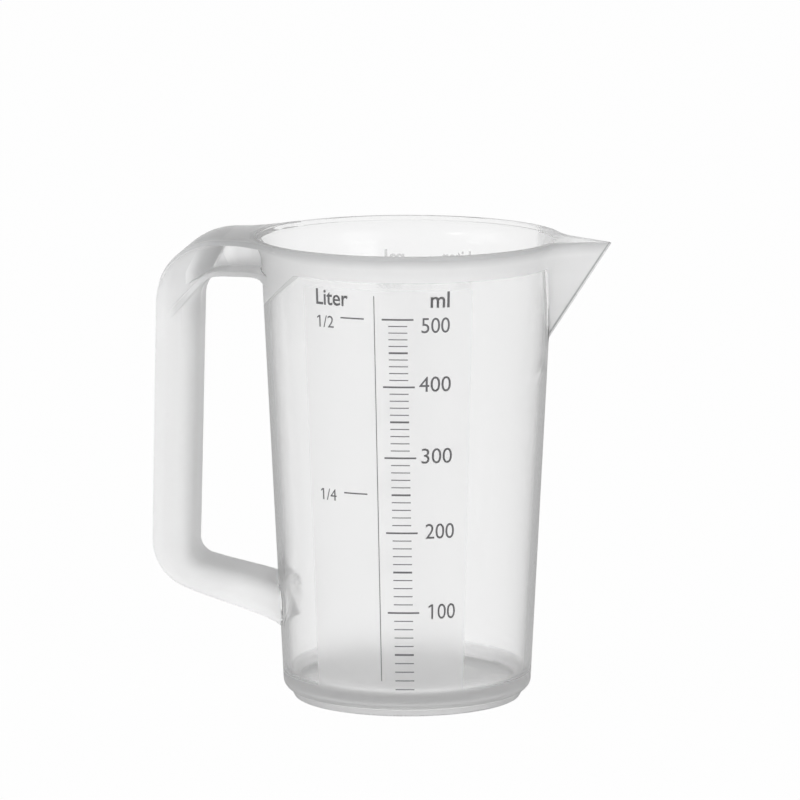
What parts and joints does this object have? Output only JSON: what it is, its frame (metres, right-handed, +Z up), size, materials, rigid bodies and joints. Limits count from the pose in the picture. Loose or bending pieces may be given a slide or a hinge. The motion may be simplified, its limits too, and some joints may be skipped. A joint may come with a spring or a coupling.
{
  "type": "measuring jug",
  "caption": "Half-litre measuring jug in frosted natural polypropylene with a pointed spout, a flanged hollow handle and grey printed scales",
  "frame": {"origin": "on the vessel's axis, on the plane of the foot ring's lower face, which stands on the table", "axes": "+Z up along the vessel's axis, +X towards the spout, -X towards the handle, -Y towards the front scale"},
  "size_m": [0.1355, 0.0918, 0.1373],
  "materials": {
    "moulding": "translucent, satin",
    "print_ink": "matt"
  },
  "bodies": {
    "root": {"foot_ring": "moulding", "base": "moulding", "side_wall": "moulding", "collar": "moulding", "rim_lip": "moulding", "spout": "moulding", "handle_top_flange": "moulding", "handle_web": "moulding", "handle_lower_flange": "moulding", "handle_bend": "moulding", "handle_grip": "moulding", "handle_elbow": "moulding", "handle_lower_arm": "moulding", "front_hundred_marks": "print_ink", "front_fifty_marks": "print_ink", "front_ten_marks": "print_ink", "front_litre_marks": "print_ink", "front_divider": "print_ink", "back_hundred_marks": "print_ink", "back_fifty_marks": "print_ink", "back_ten_marks": "print_ink", "back_litre_marks": "print_ink", "back_divider": "print_ink"}
  },
  "joints": []
}
